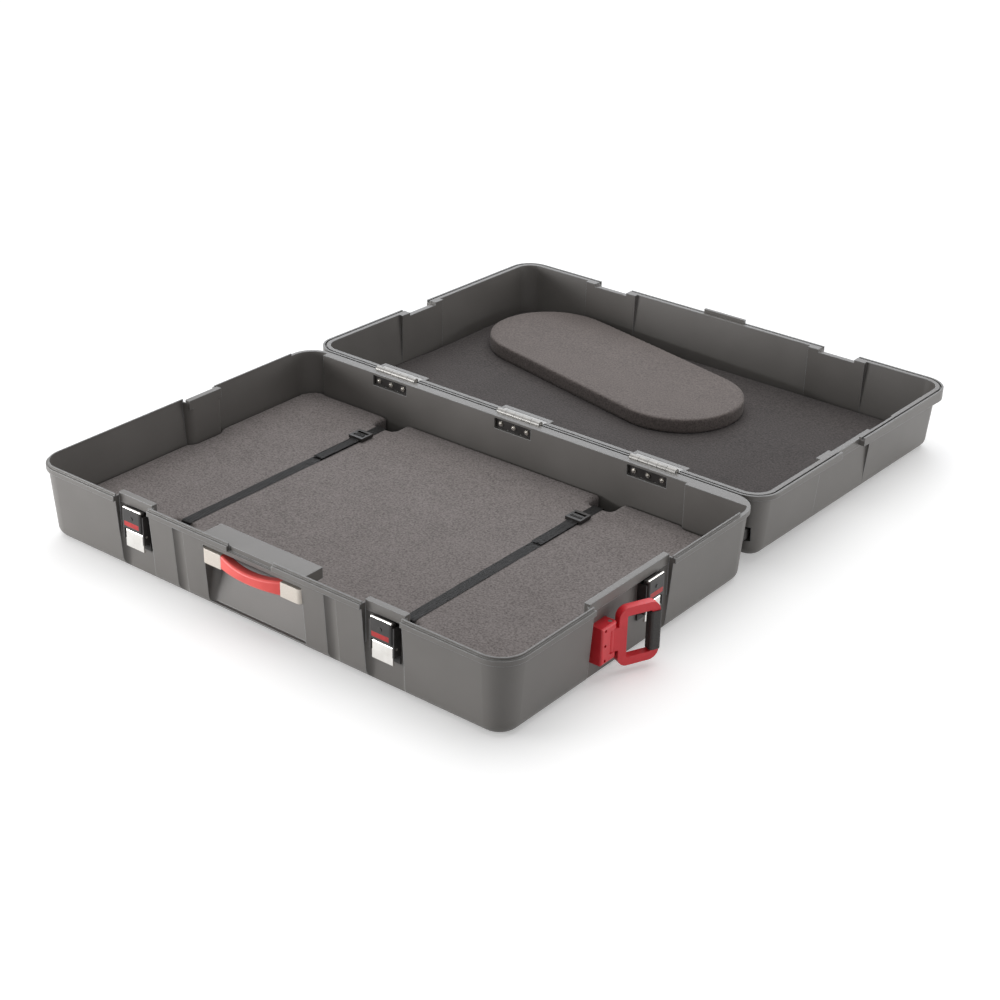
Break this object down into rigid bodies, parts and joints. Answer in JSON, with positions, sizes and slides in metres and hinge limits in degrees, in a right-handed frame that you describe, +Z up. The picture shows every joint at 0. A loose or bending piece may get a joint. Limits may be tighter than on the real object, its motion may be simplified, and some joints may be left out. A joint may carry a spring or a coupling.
{
  "type": "bike travel case",
  "caption": "Hard-shell bike travel case lying open: foam-lined base and lid tubs on bolted hinges, over-centre latches, carry grip, swinging tow handle and corner wheels.",
  "frame": {"origin": "middle of the base tub's flat underside, on the floor", "axes": "+X to the end with the tow handle, +Y across the hinges to the lid, +Z up"},
  "size_m": [1.2332, 1.6, 0.1664],
  "materials": {
    "shell_plastic": "moulded, fine grain",
    "base_foam": "open-cell foam sheet",
    "lid_foam": "open-cell foam sheet",
    "pad_foam": "dense foam slab",
    "webbing": "woven webbing",
    "black_plastic": "moulded",
    "black_rubber": "moulded",
    "red_plastic": "moulded",
    "pale_plastic": "moulded",
    "chrome": "plated",
    "zinc_steel": "zinc plated",
    "wheel_rubber": "moulded"
  },
  "bodies": {
    "base": {"base_shell": "shell_plastic", "base_foam": "base_foam", "carry_handle_grip": "red_plastic", "carry_handle_cap_left": "pale_plastic", "carry_handle_cap_right": "pale_plastic", "hinge_left_base_leaf": "zinc_steel", "hinge_middle_base_leaf": "zinc_steel", "hinge_right_base_leaf": "zinc_steel", "hinge_pins": "zinc_steel", "hinge_bolts_base": "zinc_steel", "tow_bracket": "red_plastic", "tow_pin": "zinc_steel", "strap_left": "webbing", "strap_right": "webbing", "strap_buckle_left": "black_plastic", "strap_buckle_right": "black_plastic", "strap_anchors": "zinc_steel", "strap_rivets": "zinc_steel", "wheel_base_axle": "zinc_steel", "latch_front_left_housing": "black_plastic", "latch_front_left_axle": "zinc_steel", "latch_front_right_housing": "black_plastic", "latch_front_right_axle": "zinc_steel", "latch_left_housing": "black_plastic", "latch_left_axle": "zinc_steel", "latch_right_housing": "black_plastic", "latch_right_axle": "zinc_steel"},
    "lid": {"lid_shell": "shell_plastic", "lid_foam": "lid_foam", "hinge_left_lid_leaf": "zinc_steel", "hinge_middle_lid_leaf": "zinc_steel", "hinge_right_lid_leaf": "zinc_steel", "hinge_bolts_lid": "zinc_steel", "wheel_lid_axle": "zinc_steel"},
    "pad": {"centre_pad": "pad_foam"},
    "tow_handle": {"tow_frame": "red_plastic", "tow_grip": "black_rubber"},
    "base_wheel": {"wheel_base": "wheel_rubber"},
    "lid_wheel": {"wheel_lid": "wheel_rubber"},
    "lever_front_left": {"latch_front_left_lever": "chrome"},
    "hook_front_left": {"latch_front_left_hook": "black_plastic", "latch_front_left_marker": "red_plastic", "latch_front_left_hook_bar": "chrome"},
    "lever_front_right": {"latch_front_right_lever": "chrome"},
    "hook_front_right": {"latch_front_right_hook": "black_plastic", "latch_front_right_marker": "red_plastic", "latch_front_right_hook_bar": "chrome"},
    "lever_left": {"latch_left_lever": "chrome"},
    "hook_left": {"latch_left_hook": "black_plastic", "latch_left_marker": "red_plastic", "latch_left_hook_bar": "chrome"},
    "lever_right": {"latch_right_lever": "chrome"},
    "hook_right": {"latch_right_hook": "black_plastic", "latch_right_marker": "red_plastic", "latch_right_hook_bar": "chrome"}
  },
  "joints": [
    {"name": "lid_hinge", "type": "hinge", "parent": "base", "child": "lid", "pos_m": [0, 0.399, 0.1594], "axis": [1, 0, 0], "range_deg": [0, 180.92]},
    {"name": "pad_lift", "type": "slide", "parent": "lid", "child": "pad", "axis": [0, 0.0161, 0.9999], "range_m": [0, 0.05]},
    {"name": "lever_front_left_swing", "type": "hinge", "parent": "base", "child": "lever_front_left", "pos_m": [-0.316, -0.3845, 0.093], "axis": [-1, 0, 0], "range_deg": [0, 85]},
    {"name": "hook_front_left_rise", "type": "slide", "parent": "base", "child": "hook_front_left", "axis": [0, 0, 1], "range_m": [0, 0.016]},
    {"name": "lever_front_right_swing", "type": "hinge", "parent": "base", "child": "lever_front_right", "pos_m": [0.316, -0.3845, 0.093], "axis": [-1, 0, 0], "range_deg": [0, 85]},
    {"name": "hook_front_right_rise", "type": "slide", "parent": "base", "child": "hook_front_right", "axis": [0, 0, 1], "range_m": [0, 0.016]},
    {"name": "lever_left_swing", "type": "hinge", "parent": "base", "child": "lever_left", "pos_m": [-0.583, 0.044, 0.093], "axis": [0, 1, 0], "range_deg": [0, 85]},
    {"name": "hook_left_rise", "type": "slide", "parent": "base", "child": "hook_left", "axis": [0, 0, 1], "range_m": [0, 0.016]},
    {"name": "lever_right_swing", "type": "hinge", "parent": "base", "child": "lever_right", "pos_m": [0.583, 0.044, 0.093], "axis": [0, -1, 0], "range_deg": [0, 85]},
    {"name": "hook_right_rise", "type": "slide", "parent": "base", "child": "hook_right", "axis": [0, 0, 1], "range_m": [0, 0.016]},
    {"name": "tow_swing", "type": "hinge", "parent": "base", "child": "tow_handle", "pos_m": [0.588, -0.092, 0.075], "axis": [0, 0, -1], "range_deg": [-24, 66]},
    {"name": "base_wheel_spin", "type": "hinge", "parent": "base", "child": "base_wheel", "pos_m": [0.516, 0.375, 0.015], "axis": [0, 0, 1], "continuous": true},
    {"name": "lid_wheel_spin", "type": "hinge", "parent": "lid", "child": "lid_wheel", "pos_m": [0.516, 0.42139, 0.05903], "axis": [0, 0.0161, 0.9999], "continuous": true}
  ],
  "couplings": [
    {"joint": "lever_front_left_swing", "follows": "hook_front_left_rise", "rad_per_m": 92.714},
    {"joint": "lever_front_right_swing", "follows": "hook_front_right_rise", "rad_per_m": 92.714},
    {"joint": "lever_left_swing", "follows": "hook_left_rise", "rad_per_m": 92.714},
    {"joint": "lever_right_swing", "follows": "hook_right_rise", "rad_per_m": 92.714}
  ]
}
